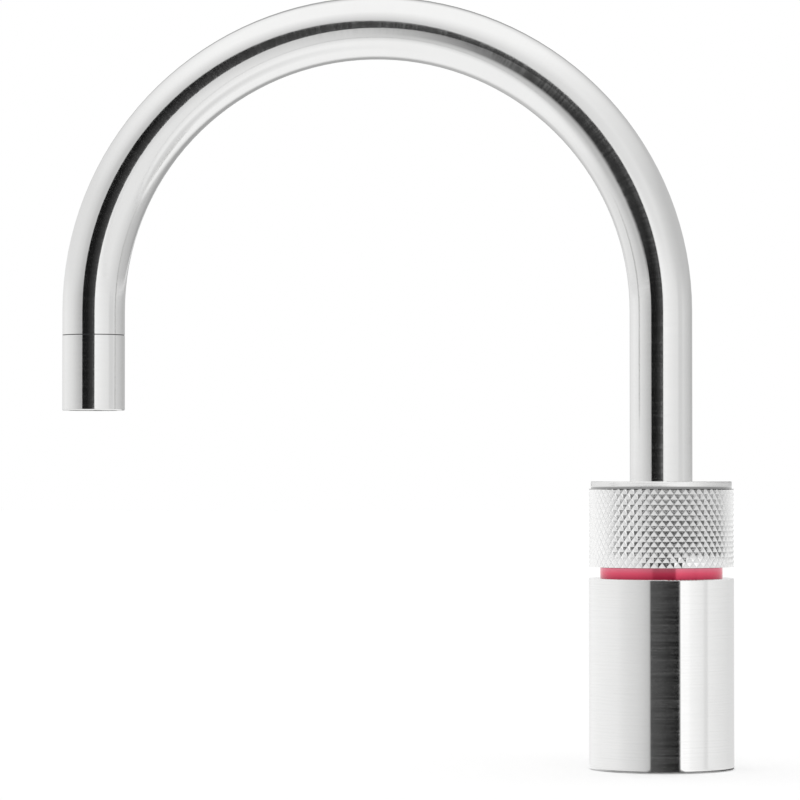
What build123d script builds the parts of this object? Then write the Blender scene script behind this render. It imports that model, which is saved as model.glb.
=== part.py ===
from build123d import *
import os
from math import cos, radians, sin

# Swan-neck tap with a knurled push-and-turn ring, in millimetres.
# Z is up, the origin is the centre of the base on the worktop,
# and the spout reaches towards -X.

# Body sleeve
BODY_D = 51.0
BODY_H = 67.0
SHELL_WALL = 2.0
WEB_T = 2.5
EDGE_BREAK = 0.4

# Light band between the sleeve and the ring
LIGHT_H = 4.0
LIGHT_LEDGE = 0.7
LIGHT_CLEAR = 0.6
LIGHT_CHAMFER = 0.3
LIGHT_SKIRT_W = 2.5

# Knurled ring, the plate that closes it and the screws under the plate
KNOB_D = 51.0
KNOB_H = 30.0
KNOB_WALL = 3.4
KNOB_PLATE_T = 3.0
RIM_INSET = 0.75
RIM_H = 2.6
RIM_FILLET = 0.3
KNURL_DEPTH = 0.7
KNURL_COUNT = 56
KNURL_ROWS = 15
KNOB_SPOUT_GAP = 0.35
WIPER_W = 1.6
WIPER_H = 1.4
KNOB_SCREW_R = 0.8
KNOB_SCREW_HEAD_R = 1.4
KNOB_SCREW_HEAD_H = 1.2
KNOB_SCREW_GRIP = 6.0
KNOB_SCREW_BITE = 2.0
KNOB_SCREW_SOCKET_R = 0.6
KNOB_SCREW_COUNT = 3
KNOB_SCREW_ANGLE = 15.0
MAGNET_R = 1.2
MAGNET_L = 3.0
MAGNET_ANGLES = (75, 195)

# Push and turn
PUSH_STROKE = 2.5
PRESS_GAP = 0.5
TURN_RANGE = 90.0
TURN_PLAY = 0.5
TAB_HALF_ANGLE = 6.0
TAB_H = 2.0
PUSH_RING_WALL = 1.3
PUSH_FLANGE_T = 3.0
PUSH_FLANGE_W = 1.9
PUSH_RING_ABOVE = 1.3
CIRCLIP_T = 1.0
CIRCLIP_W = 1.3
CIRCLIP_GROOVE = 0.6
CIRCLIP_OPENING = 40.0
CIRCLIP_ROOM = 0.6
PIN_R = 1.25
PIN_BELOW_NECK_TOP = 11.0
SPRING_CLEAR = 0.12
SPRING_WIRE_R = 0.5
SPRING_TURNS = 4

# Spout
SPOUT_D = 22.0
SPOUT_WALL = 1.0
REACH = 200.0
RISER_H = 60.0
OUTLET_DROP = 35.0
SLEEVE_H = 26.35
JOINT_LINE = 0.3
SLEEVE_LIP_W = 1.4
SLEEVE_LIP_H = 2.0
WATER_TUBE_R = 5.0
WATER_TUBE_WALL = 1.0
WATER_BORE_R = 3.0
SPACER_ANGLES = (30, 90, 150)
SPACER_T = 4.0
SPACER_RING_W = 1.2
SPACER_FIN_W = 1.6
SPACER_FIN_COUNT = 3

# Neck and bearings
NECK_WALL = 2.2
NECK_SEAT = 8.0
NECK_FLANGE_T = 2.5
BEARING_WALL = 1.2
BEARING_SHOULDER = 0.6
UPPER_BEARING_H = 7.0
LOWER_BEARING_H = 6.0
THRUST_T = 1.0
NECK_SCREW_R = 1.25
NECK_SCREW_HEAD_R = 2.3
NECK_SCREW_L = 9.0
NECK_SCREW_SOCKET_R = 1.0
NECK_SCREW_SOCKET_H = 1.2
NECK_SCREW_LAND = 0.45
NECK_SCREW_COUNT = 3
NECK_SCREW_ANGLE = 60.0
COUNTERSINK_ANGLE = 90.0

# Core
SHELF_DEPTH = 9.0
FLANGE_H = 8.0
WAIST_WALL = 2.0
SHANK_SEAT = 12.0
PORT_R = 4.5
PORT_DEPTH = 10.0
CABLE_DUCT_R = 2.5
CABLE_DUCT_START = 9.0
CABLE_HOLE_R = 1.7
CABLE_BORE_R = 1.1
GRIP_GROOVE_H = 2.0
GRIP_GROOVE_DEPTH = 1.5
GRUB_R = 2.0
GRUB_TIP_R = 1.1
GRUB_SOCKET_R = 1.1
GRUB_SOCKET_H = 2.0

# Spout stem in the core's seal bore
STEM_L = 20.0
STEM_R = 7.92
STEM_END_GAP = 1.0
STEM_FLANGE_T = 3.0
PLUG_L = 10.0
SPIGOT_L = 8.0
RETAINING_GROOVE_DEPTH = 1.5
RETAINING_GROOVE_H = 2.5
GROOVE_BELOW_FOOT = 1.0
O_RING_WIDTH = 1.7
O_RING_GROOVE_H = 2.2
O_RING_FIRST = 4.0
O_RING_PITCH = 5.0
O_RING_COUNT = 2

# Outlet end
CONNECTOR_BELOW_JOINT = 10.5
CONNECTOR_ABOVE_JOINT = 4.5
OUTLET_SPIGOT_L = 3.5
OUTLET_GROOVE_BELOW = 5.0
OUTLET_WASHER_T = 2.2
OUTLET_WASHER_BORE_R = 6.0
MESH_T = 0.6
MESH_HOLE = 1.3
MESH_PITCH = 2.0
HONEYCOMB_R = 1.6
HONEYCOMB_WEB = 0.6
HONEYCOMB_CELLS = 7
RIM_OF_HOLES = 1.0

# Fixing set under the worktop
SHANK_R = 15.0
SHANK_BORE_R = 12.5
SHANK_BELOW = 60.0
THREAD_CHAMFER = 1.0
WORKTOP_T = 30.0
CLAMP_R = 24.0
CLAMP_SEAL_T = 3.0
CLAMP_WASHER_T = 2.0
NUT_AF = 41.0
NUT_H = 10.0
NUT_CHAMFER = 1.2
DECK_GROOVE_LAND = 1.4
DECK_GROOVE_W = 4.0
DECK_GROOVE_DEPTH = 2.0

# Light board
BOARD_T = 1.6
BOARD_INSET = 2.4
CHIP_COUNT = 12
CHIP_L = 1.8
CHIP_W = 1.2
CHIP_H = 1.0
CHIP_GAP = 1.3
SENSOR_L = 3.0
SENSOR_W = 1.6
SENSOR_H = 1.2
SENSOR_COUNT = 2
SENSOR_ANGLE = 90.0
CONNECTOR_L = 5.0
CONNECTOR_W = 2.2
CONNECTOR_H = 2.1

# Clearances, each on the radius or on one side
RUN_GAP = 0.08
SLIDE_GAP = 0.06
SEAT_GAP = 0.05
LOOSE_GAP = 0.1

FULL_TURN = 360.0

# Radii worked out from the sizes above
BODY_R = BODY_D / 2
SHELL_BORE_R = BODY_R - SHELL_WALL
CORE_FLANGE_R = SHELL_BORE_R - LOOSE_GAP
GRIP_ROOT_R = CORE_FLANGE_R - GRIP_GROOVE_DEPTH
WAIST_R = SHANK_R + WAIST_WALL
DECK_GROOVE_OUTER_R = CORE_FLANGE_R - DECK_GROOVE_LAND
DECK_GROOVE_INNER_R = DECK_GROOVE_OUTER_R - DECK_GROOVE_W
KNOB_R = KNOB_D / 2
KNOB_BORE_R = KNOB_R - KNOB_WALL
LIGHT_R = KNOB_BORE_R - LIGHT_CLEAR
SKIRT_R = LIGHT_R - LIGHT_LEDGE
WEB_BORE_R = SKIRT_R + SEAT_GAP
SPOUT_R = SPOUT_D / 2
SPOUT_BORE_R = SPOUT_R - SPOUT_WALL
SPOUT_PLUG_R = SPOUT_BORE_R - SEAT_GAP
WATER_TUBE_BORE_R = WATER_TUBE_R - WATER_TUBE_WALL
SPIGOT_R = WATER_TUBE_BORE_R - SEAT_GAP
BEARING_BORE_R = SPOUT_R + RUN_GAP
BEARING_R = BEARING_BORE_R + BEARING_WALL
NECK_POCKET_R = BEARING_R + SEAT_GAP
NECK_BORE_R = NECK_POCKET_R - BEARING_SHOULDER
NECK_R = NECK_POCKET_R + NECK_WALL
NECK_SEAT_R = NECK_R + SEAT_GAP
NECK_SCREW_PCD_R = GRIP_ROOT_R - NECK_SCREW_LAND - NECK_SCREW_R
CABLE_PCD_R = (NECK_SEAT_R + GRIP_ROOT_R) / 2
PUSH_BORE_R = NECK_R + SLIDE_GAP
PUSH_RING_R = PUSH_BORE_R + PUSH_RING_WALL
PUSH_FLANGE_R = PUSH_RING_R + PUSH_FLANGE_W
CARRIER_BORE_R = PUSH_RING_R + RUN_GAP
CARRIER_R = KNOB_BORE_R - SEAT_GAP
CARRIER_MID_R = (CARRIER_BORE_R + CARRIER_R) / 2
CARRIER_SLOT_R = PUSH_FLANGE_R + LOOSE_GAP
CIRCLIP_BORE_R = PUSH_RING_R - CIRCLIP_GROOVE + SEAT_GAP
CIRCLIP_R = CIRCLIP_BORE_R + CIRCLIP_W
KNOB_HOLE_R = SPOUT_R + KNOB_SPOUT_GAP
WIPER_R = KNOB_HOLE_R + WIPER_W
LIGHT_BORE_R = SKIRT_R - LIGHT_SKIRT_W
SPRING_MEAN_R = NECK_R + SPRING_CLEAR + SPRING_WIRE_R
BOARD_BORE_R = NECK_R + BOARD_INSET
CHIP_RING_R = (LIGHT_BORE_R + SKIRT_R) / 2
PAD_MID_R = (BOARD_BORE_R + CORE_FLANGE_R) / 2
SEAL_BORE_R = STEM_R + RUN_GAP
O_RING_BORE_R = STEM_R - O_RING_WIDTH
NUT_CORNER_R = NUT_AF / 2 / cos(radians(30))
HONEYCOMB_PITCH = HONEYCOMB_R + HONEYCOMB_WEB / 2
KNURL_ROOT_R = KNOB_R - KNURL_DEPTH

# Heights worked out from the sizes above
SHELF_Z = BODY_H - SHELF_DEPTH
NECK_FOOT_Z = SHELF_Z - NECK_SEAT
FLANGE_TOP_Z = SHELF_Z + NECK_FLANGE_T
BOARD_TOP_Z = FLANGE_TOP_Z + BOARD_T
SKIRT_Z = BOARD_TOP_Z + CHIP_H + CHIP_GAP
LIGHT_TOP_Z = BODY_H + LIGHT_H
KNOB_TOP_Z = LIGHT_TOP_Z + KNOB_H
PLATE_Z = KNOB_TOP_Z - KNOB_PLATE_T
KNURL_TOP_Z = KNOB_TOP_Z - RIM_H
NECK_TOP_Z = PLATE_Z - PUSH_STROKE - PRESS_GAP
PIN_Z = NECK_TOP_Z - PIN_BELOW_NECK_TOP
PUSH_FOOT_Z = LIGHT_TOP_Z + PUSH_STROKE + PRESS_GAP
PUSH_SEAT_Z = PUSH_FOOT_Z + PUSH_FLANGE_T
PUSH_TOP_Z = NECK_TOP_Z + PUSH_RING_ABOVE
CARRIER_FOOT_Z = PUSH_SEAT_Z + LOOSE_GAP
CIRCLIP_Z = NECK_TOP_Z - SEAT_GAP
CARRIER_STEP_Z = CIRCLIP_Z - LOOSE_GAP
KNOB_SCREW_SEAT_Z = PLATE_Z - KNOB_SCREW_GRIP
WIPER_Z = PLATE_Z + (KNOB_PLATE_T - WIPER_H) / 2
SEAL_BORE_Z = NECK_FOOT_Z - STEM_L
PORT_TOP_Z = SHANK_SEAT + PORT_DEPTH
STEM_FOOT_Z = SEAL_BORE_Z + STEM_END_GAP
STEM_FLANGE_Z = NECK_FOOT_Z + THRUST_T
SPOUT_FOOT_Z = STEM_FLANGE_Z + STEM_FLANGE_T
PLUG_TOP_Z = SPOUT_FOOT_Z + PLUG_L
GRUB_Z = NECK_FOOT_Z - GROOVE_BELOW_FOOT - RETAINING_GROOVE_H / 2
O_RING_HEIGHTS = [STEM_FOOT_Z + O_RING_FIRST + i * O_RING_PITCH for i in range(O_RING_COUNT)]
GRIP_HEIGHTS = [FLANGE_H / 2, (NECK_FOOT_Z + SHELF_Z) / 2]
LOWER_BEARING_Z = SPOUT_FOOT_Z + THRUST_T
LOWER_BEARING_TOP_Z = LOWER_BEARING_Z + LOWER_BEARING_H
UPPER_BEARING_Z = NECK_TOP_Z - UPPER_BEARING_H
BEND_Z = KNOB_TOP_Z + RISER_H
BEND_R = REACH / 2
OUTLET_Z = BEND_Z - OUTLET_DROP
SLEEVE_TOP_Z = OUTLET_Z + SLEEVE_H
SPOUT_END_Z = SLEEVE_TOP_Z + JOINT_LINE
CONNECTOR_FOOT_Z = SLEEVE_TOP_Z - CONNECTOR_BELOW_JOINT
CONNECTOR_TOP_Z = SPOUT_END_Z + CONNECTOR_ABOVE_JOINT
OUTLET_GROOVE_Z = SLEEVE_TOP_Z - OUTLET_GROOVE_BELOW
LIP_TOP_Z = OUTLET_Z + SLEEVE_LIP_H
STRAIGHTENER_Z = LIP_TOP_Z + MESH_T
WASHER_Z = CONNECTOR_FOOT_Z - OUTLET_WASHER_T
CLAMP_WASHER_Z = -WORKTOP_T - CLAMP_SEAL_T
NUT_TOP_Z = CLAMP_WASHER_Z - CLAMP_WASHER_T

OUTLET_FOOT = Plane((-REACH, 0, OUTLET_Z))
OUTLET_SECTION = Plane((-REACH, 0, 0), x_dir=(1, 0, 0), z_dir=(0, -1, 0))
OUTLET_AXIS = Axis((-REACH, 0, 0), (0, 0, 1))
ON_TOP = (Align.CENTER, Align.CENTER, Align.MIN)
UNDER = (Align.CENTER, Align.CENTER, Align.MAX)

os.makedirs("parts", exist_ok=True)


def sector(z, inner_r, outer_r, start, end):
    """A flat ring sector at height z, between two angles in degrees."""
    with BuildSketch(Plane.XY.offset(z)) as flat:
        with BuildLine():
            outer = CenterArc((0, 0), outer_r, start, end - start)
            inner = CenterArc((0, 0), inner_r, start, end - start)
            Line(outer @ 0, inner @ 0)
            Line(outer @ 1, inner @ 1)
        make_face()
    return flat.sketch


def on_bend(angle):
    """The plane across the spout's bend, at an angle from the riser's side."""
    turn = radians(angle)
    point = (BEND_R * (cos(turn) - 1), 0, BEND_Z + BEND_R * sin(turn))
    return Plane(point, x_dir=(0, 1, 0), z_dir=(-sin(turn), 0, cos(turn)))


def knurl_node(column, row):
    """A node of the knurl's net: tips and valleys take turns along each row."""
    radius = KNOB_R if (column + row) % 2 else KNURL_ROOT_R
    angle = radians(column * FULL_TURN / (2 * KNURL_COUNT))
    height = LIGHT_TOP_Z + row * (KNURL_TOP_Z - LIGHT_TOP_Z) / KNURL_ROWS
    return (radius * cos(angle), radius * sin(angle), height)


def knurl_flanks():
    """The triangles of the knurl's pyramids, four to a tip and two at the band's ends."""
    flanks = []
    for row in range(KNURL_ROWS + 1):
        for column in range((row + 1) % 2, 2 * KNURL_COUNT, 2):
            tip = knurl_node(column, row)
            for side in (-1, 1):
                beside = knurl_node(column + side, row)
                for end in (-1, 1):
                    if 0 <= row + end <= KNURL_ROWS:
                        beyond = knurl_node(column, row + end)
                        flanks.append(Face(Wire.make_polygon([tip, beside, beyond])))
    return flanks


def knurled_band():
    """A band with a plain bore inside and the knurl's net outside."""
    ends = []
    for row, height in ((0, LIGHT_TOP_Z), (KNURL_ROWS, KNURL_TOP_Z)):
        outline = Wire.make_polygon([knurl_node(column, row) for column in range(2 * KNURL_COUNT)])
        bore = Wire(Edge.make_circle(KNOB_BORE_R, Plane.XY.offset(height)))
        ends.append(Face(outline, [bore]))
    foot = Edge.make_circle(KNOB_BORE_R, Plane.XY.offset(LIGHT_TOP_Z))
    wall = Face.extrude(foot, (0, 0, KNURL_TOP_Z - LIGHT_TOP_Z))
    return Solid(Shell([*knurl_flanks(), *ends, wall]))


# The sleeve: a turned cup, open below, whose top web carries the light ring
with BuildPart() as body_shell:
    with BuildSketch(Plane.XY):
        Circle(BODY_R)
    extrude(amount=BODY_H)
    fillet(body_shell.edges().group_by(Axis.Z)[-1], EDGE_BREAK)
    chamfer(body_shell.edges().group_by(Axis.Z)[0], EDGE_BREAK)
    with BuildSketch(Plane.XY):
        Circle(SHELL_BORE_R)
    extrude(amount=BODY_H - WEB_T, mode=Mode.SUBTRACT)
    Hole(WEB_BORE_R)

# The brass core: foot flange, waist and the collar that carries the neck
with BuildPart() as core_body:
    with BuildSketch(Plane.XZ):
        with BuildLine():
            Polyline(
                (0, 0),
                (CORE_FLANGE_R, 0),
                (CORE_FLANGE_R, FLANGE_H),
                (WAIST_R, FLANGE_H),
                (WAIST_R, NECK_FOOT_Z),
                (CORE_FLANGE_R, NECK_FOOT_Z),
                (CORE_FLANGE_R, SHELF_Z),
                (0, SHELF_Z),
                close=True,
            )
        make_face()
        with Locations(*((CORE_FLANGE_R, height) for height in GRIP_HEIGHTS)):
            Rectangle(2 * GRIP_GROOVE_DEPTH, GRIP_GROOVE_H, mode=Mode.SUBTRACT)
    revolve(axis=Axis.Z)
    # Stepped bore from the top: neck seat, seal bore, water bore
    with Locations((0, 0, SHELF_Z)):
        Hole(NECK_SEAT_R, depth=NECK_SEAT)
    with Locations((0, 0, NECK_FOOT_Z)):
        Hole(SEAL_BORE_R, depth=STEM_L)
    with Locations((0, 0, SEAL_BORE_Z)):
        Hole(WATER_BORE_R, depth=SEAL_BORE_Z - PORT_TOP_Z)
    # From below: deck seal groove, shank seat and inlet port
    with BuildSketch(Plane.XY):
        Circle(DECK_GROOVE_OUTER_R)
        Circle(DECK_GROOVE_INNER_R, mode=Mode.SUBTRACT)
    extrude(amount=DECK_GROOVE_DEPTH, mode=Mode.SUBTRACT)
    with BuildSketch(Plane.XY):
        Circle(SHANK_R + SEAT_GAP)
    extrude(amount=SHANK_SEAT, mode=Mode.SUBTRACT)
    with BuildSketch(Plane.XY):
        Circle(PORT_R)
    extrude(amount=PORT_TOP_Z, mode=Mode.SUBTRACT)
    # The collar's tapped holes and cable hole
    with Locations(Plane.XY.offset(SHELF_Z)):
        with PolarLocations(NECK_SCREW_PCD_R, NECK_SCREW_COUNT, start_angle=NECK_SCREW_ANGLE):
            Hole(NECK_SCREW_R, depth=NECK_SEAT)
        with Locations((CABLE_PCD_R, 0)):
            Hole(CABLE_HOLE_R, depth=NECK_SEAT)
    # The cable's slanted way out of the shank seat to the waist
    duct_start = Vector(CABLE_DUCT_START, 0, SHANK_SEAT - CABLE_DUCT_R)
    with BuildSketch(Plane(duct_start, x_dir=(0, 1, 0), z_dir=(1, 0, 1))):
        Circle(CABLE_DUCT_R)
    extrude(amount=WAIST_R, mode=Mode.SUBTRACT)
    # Radial hole for the retaining screw
    with BuildSketch(Plane.YZ.offset(-WAIST_R)):
        with Locations((0, GRUB_Z)):
            Circle(GRUB_R + SEAT_GAP)
    extrude(amount=WAIST_R - STEM_R, mode=Mode.SUBTRACT)

# The fixed neck holds the spout's bearings and guides the push ring
with BuildPart() as neck_tube:
    with BuildSketch(Plane.XY.offset(NECK_FOOT_Z)):
        Circle(NECK_R)
    extrude(amount=NECK_TOP_Z - NECK_FOOT_Z)
    with BuildSketch(Plane.XY.offset(SHELF_Z)):
        Circle(CORE_FLANGE_R)
    extrude(amount=NECK_FLANGE_T)
    with BuildSketch(Plane.XY.offset(NECK_FOOT_Z)):
        Circle(NECK_BORE_R)
    extrude(amount=NECK_TOP_Z - NECK_FOOT_Z, mode=Mode.SUBTRACT)
    with BuildSketch(Plane.XY.offset(NECK_FOOT_Z)):
        Circle(NECK_POCKET_R)
    extrude(amount=LOWER_BEARING_TOP_Z - NECK_FOOT_Z, mode=Mode.SUBTRACT)
    with BuildSketch(Plane.XY.offset(NECK_TOP_Z)):
        Circle(NECK_POCKET_R)
    extrude(amount=-UPPER_BEARING_H, mode=Mode.SUBTRACT)
    with Locations(Plane.XY.offset(FLANGE_TOP_Z)):
        with PolarLocations(NECK_SCREW_PCD_R, NECK_SCREW_COUNT, start_angle=NECK_SCREW_ANGLE):
            CounterSinkHole(
                radius=NECK_SCREW_R + SEAT_GAP,
                counter_sink_radius=NECK_SCREW_HEAD_R + SEAT_GAP,
                depth=NECK_FLANGE_T,
                counter_sink_angle=COUNTERSINK_ANGLE,
            )
        with Locations((CABLE_PCD_R, 0)):
            Hole(CABLE_HOLE_R, depth=NECK_FLANGE_T)
    with BuildSketch(Plane.XZ.offset(-NECK_R)):
        with Locations((0, PIN_Z)):
            Circle(PIN_R + SEAT_GAP)
    extrude(amount=2 * NECK_R, mode=Mode.SUBTRACT)

# Countersunk screws, neck to core
with BuildPart() as neck_screws:
    with Locations(Plane.XY.offset(FLANGE_TOP_Z)):
        with PolarLocations(NECK_SCREW_PCD_R, NECK_SCREW_COUNT, start_angle=NECK_SCREW_ANGLE):
            Cylinder(NECK_SCREW_R - SEAT_GAP, NECK_SCREW_L, align=UNDER)
            Cone(
                bottom_radius=NECK_SCREW_R - SEAT_GAP,
                top_radius=NECK_SCREW_HEAD_R - SEAT_GAP,
                height=NECK_SCREW_HEAD_R - NECK_SCREW_R,
                align=UNDER,
            )
    with BuildSketch(Plane.XY.offset(FLANGE_TOP_Z)):
        with PolarLocations(NECK_SCREW_PCD_R, NECK_SCREW_COUNT, start_angle=NECK_SCREW_ANGLE):
            RegularPolygon(NECK_SCREW_SOCKET_R, 6)
    extrude(amount=-NECK_SCREW_SOCKET_H, mode=Mode.SUBTRACT)

# The hollow fixing shank, screwed up into the core
with BuildPart() as threaded_shank:
    with BuildSketch(Plane.XY.offset(-SHANK_BELOW)):
        Circle(SHANK_R)
    extrude(amount=SHANK_BELOW + SHANK_SEAT)
    chamfer(threaded_shank.edges().group_by(Axis.Z)[0], THREAD_CHAMFER)
    with BuildSketch(Plane.XY.offset(-SHANK_BELOW)):
        Circle(SHANK_BORE_R)
    extrude(amount=SHANK_BELOW + SHANK_SEAT, mode=Mode.SUBTRACT)

# Rubber seal in the base's groove
with BuildPart() as deck_seal:
    with BuildSketch(Plane.XY):
        Circle(DECK_GROOVE_OUTER_R - LOOSE_GAP)
        Circle(DECK_GROOVE_INNER_R + LOOSE_GAP, mode=Mode.SUBTRACT)
    extrude(amount=DECK_GROOVE_DEPTH)

# Clamping set under the worktop: rubber, steel washer and hexagon nut
with BuildPart() as clamp_seal:
    with BuildSketch(Plane.XY.offset(-WORKTOP_T)):
        Circle(CLAMP_R)
        Circle(SHANK_R + LOOSE_GAP, mode=Mode.SUBTRACT)
    extrude(amount=-CLAMP_SEAL_T)

with BuildPart() as clamp_washer:
    with BuildSketch(Plane.XY.offset(CLAMP_WASHER_Z)):
        Circle(CLAMP_R)
        Circle(SHANK_R + LOOSE_GAP, mode=Mode.SUBTRACT)
    extrude(amount=-CLAMP_WASHER_T)

with BuildPart() as lock_nut:
    with BuildSketch(Plane.XY.offset(NUT_TOP_Z)):
        RegularPolygon(NUT_AF / 2, 6, major_radius=False)
        Circle(SHANK_R + SEAT_GAP, mode=Mode.SUBTRACT)
    extrude(amount=-NUT_H)
    # The corners are turned off at both ends
    with BuildSketch(Plane.XZ):
        with BuildLine():
            Polyline(
                (0, NUT_TOP_Z),
                (NUT_CORNER_R - NUT_CHAMFER, NUT_TOP_Z),
                (NUT_CORNER_R, NUT_TOP_Z - NUT_CHAMFER / 2),
                (NUT_CORNER_R, NUT_TOP_Z - NUT_H + NUT_CHAMFER / 2),
                (NUT_CORNER_R - NUT_CHAMFER, NUT_TOP_Z - NUT_H),
                (0, NUT_TOP_Z - NUT_H),
                close=True,
            )
        make_face()
    revolve(axis=Axis.Z, mode=Mode.INTERSECT)

# Two rubber rings that grip the sleeve
with BuildPart() as shell_grip_rings:
    with BuildSketch(Plane.XZ):
        with Locations(*((GRIP_ROOT_R + GRIP_GROOVE_DEPTH / 2, z) for z in GRIP_HEIGHTS)):
            Circle(GRIP_GROOVE_DEPTH / 2)
    revolve(axis=Axis.Z)

# The translucent light ring sits on the web, with its skirt over the lamps
with BuildPart() as light_ring:
    with BuildSketch(Plane.XY.offset(SKIRT_Z)):
        Circle(SKIRT_R)
    extrude(amount=BODY_H - SKIRT_Z)
    with BuildSketch(Plane.XY.offset(BODY_H)):
        Circle(LIGHT_R)
    extrude(amount=LIGHT_H)
    chamfer(light_ring.edges().group_by(Axis.Z)[-1], LIGHT_CHAMFER)
    with BuildSketch(Plane.XY.offset(SKIRT_Z)):
        Circle(LIGHT_BORE_R)
    extrude(amount=LIGHT_TOP_Z - SKIRT_Z, mode=Mode.SUBTRACT)

# The circuit board lies on the neck's flange
with BuildPart() as led_board:
    with BuildSketch(Plane.XY.offset(FLANGE_TOP_Z)):
        Circle(CORE_FLANGE_R - LOOSE_GAP)
        Circle(BOARD_BORE_R, mode=Mode.SUBTRACT)
        with Locations((CABLE_PCD_R, 0)):
            Circle(CABLE_BORE_R, mode=Mode.SUBTRACT)
            Rectangle(
                CABLE_PCD_R,
                2 * CABLE_BORE_R,
                align=(Align.MAX, Align.CENTER),
                mode=Mode.SUBTRACT,
            )
    extrude(amount=BOARD_T)

with BuildPart() as led_chips:
    with BuildSketch(Plane.XY.offset(BOARD_TOP_Z)):
        with PolarLocations(CHIP_RING_R, CHIP_COUNT, start_angle=180 / CHIP_COUNT):
            Rectangle(CHIP_W, CHIP_L)
    extrude(amount=CHIP_H)

with BuildPart() as hall_sensors:
    with BuildSketch(Plane.XY.offset(BOARD_TOP_Z)):
        with PolarLocations(PAD_MID_R, SENSOR_COUNT, start_angle=SENSOR_ANGLE):
            Rectangle(SENSOR_W, SENSOR_L)
    extrude(amount=SENSOR_H)

with BuildPart() as board_connector:
    with BuildSketch(Plane.XY.offset(BOARD_TOP_Z)):
        with Locations((PAD_MID_R, 0)):
            Rectangle(CONNECTOR_W, CONNECTOR_L)
    extrude(amount=CONNECTOR_H)

with BuildPart() as cable_grommet:
    with BuildSketch(Plane.XY.offset(NECK_FOOT_Z)):
        with Locations((CABLE_PCD_R, 0)):
            Circle(CABLE_HOLE_R - SEAT_GAP)
            Circle(CABLE_BORE_R, mode=Mode.SUBTRACT)
    extrude(amount=FLANGE_TOP_Z - NECK_FOOT_Z)

# Plain bushes for the spout, each against its shoulder in the neck
with BuildPart() as lower_spout_bearing:
    with BuildSketch(Plane.XY.offset(LOWER_BEARING_Z)):
        Circle(BEARING_R)
        Circle(BEARING_BORE_R, mode=Mode.SUBTRACT)
    extrude(amount=LOWER_BEARING_H)

with BuildPart() as upper_spout_bearing:
    with BuildSketch(Plane.XY.offset(UPPER_BEARING_Z)):
        Circle(BEARING_R)
        Circle(BEARING_BORE_R, mode=Mode.SUBTRACT)
    extrude(amount=UPPER_BEARING_H)

# Low-friction washer that the spout turns on
with BuildPart() as thrust_washer:
    with BuildSketch(Plane.XY.offset(NECK_FOOT_Z)):
        Circle(BEARING_R)
        Circle(SEAL_BORE_R, mode=Mode.SUBTRACT)
    extrude(amount=THRUST_T)

# Grub screw whose plain tip runs in the stem's groove
with BuildPart() as spout_retaining_screw:
    with BuildSketch(Plane.YZ.offset(-WAIST_R)):
        with Locations((0, GRUB_Z)):
            Circle(GRUB_R)
    extrude(amount=WAIST_R - SEAL_BORE_R - LOOSE_GAP)
    with BuildSketch(Plane.YZ.offset(-WAIST_R)):
        with Locations((0, GRUB_Z)):
            Circle(GRUB_TIP_R)
    extrude(amount=WAIST_R - STEM_R + RETAINING_GROOVE_DEPTH - LOOSE_GAP)
    with BuildSketch(Plane.YZ.offset(-WAIST_R)):
        with Locations((0, GRUB_Z)):
            RegularPolygon(GRUB_SOCKET_R, 6)
    extrude(amount=GRUB_SOCKET_H, mode=Mode.SUBTRACT)

# Pins in the neck that let the push ring slide and keep it from turning
with BuildPart() as guide_pins:
    for side in (-1, 1):
        start = Plane((0, side * NECK_BORE_R, PIN_Z), x_dir=(1, 0, 0), z_dir=(0, side, 0))
        with BuildSketch(start):
            Circle(PIN_R)
        extrude(amount=PUSH_RING_R - NECK_BORE_R - LOOSE_GAP)

# The push ring: a sliding sleeve with a flange, a stop tab and slots for the pins
with BuildPart() as push_ring:
    with BuildSketch(Plane.XY.offset(PUSH_FOOT_Z)):
        Circle(PUSH_RING_R)
    extrude(amount=PUSH_TOP_Z - PUSH_FOOT_Z)
    with BuildSketch(Plane.XY.offset(PUSH_FOOT_Z)):
        Circle(PUSH_FLANGE_R)
    extrude(amount=PUSH_FLANGE_T)
    extrude(sector(PUSH_SEAT_Z, PUSH_BORE_R, PUSH_FLANGE_R, -TAB_HALF_ANGLE, TAB_HALF_ANGLE), TAB_H)
    with BuildSketch(Plane.XY.offset(PUSH_FOOT_Z)):
        Circle(PUSH_BORE_R)
    extrude(amount=PUSH_TOP_Z - PUSH_FOOT_Z, mode=Mode.SUBTRACT)
    with BuildSketch(Plane.XZ):
        with Locations((0, PIN_Z + PUSH_STROKE / 2)):
            SlotOverall(
                PUSH_STROKE + 2 * (PIN_R + SEAT_GAP), 2 * (PIN_R + SEAT_GAP), rotation=90
            )
    extrude(amount=PUSH_FLANGE_R, both=True, mode=Mode.SUBTRACT)
    with BuildSketch(Plane.XZ):
        with Locations((PUSH_RING_R, CIRCLIP_Z + CIRCLIP_T / 2)):
            Rectangle(2 * CIRCLIP_GROOVE, CIRCLIP_T + 2 * SEAT_GAP)
    revolve(axis=Axis.Z, mode=Mode.SUBTRACT)

# Open snap ring that holds the carrier down on the push ring
with BuildPart() as carrier_circlip:
    extrude(
        sector(
            CIRCLIP_Z,
            CIRCLIP_BORE_R,
            CIRCLIP_R,
            CIRCLIP_OPENING / 2,
            FULL_TURN - CIRCLIP_OPENING / 2,
        ),
        CIRCLIP_T,
    )

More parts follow.
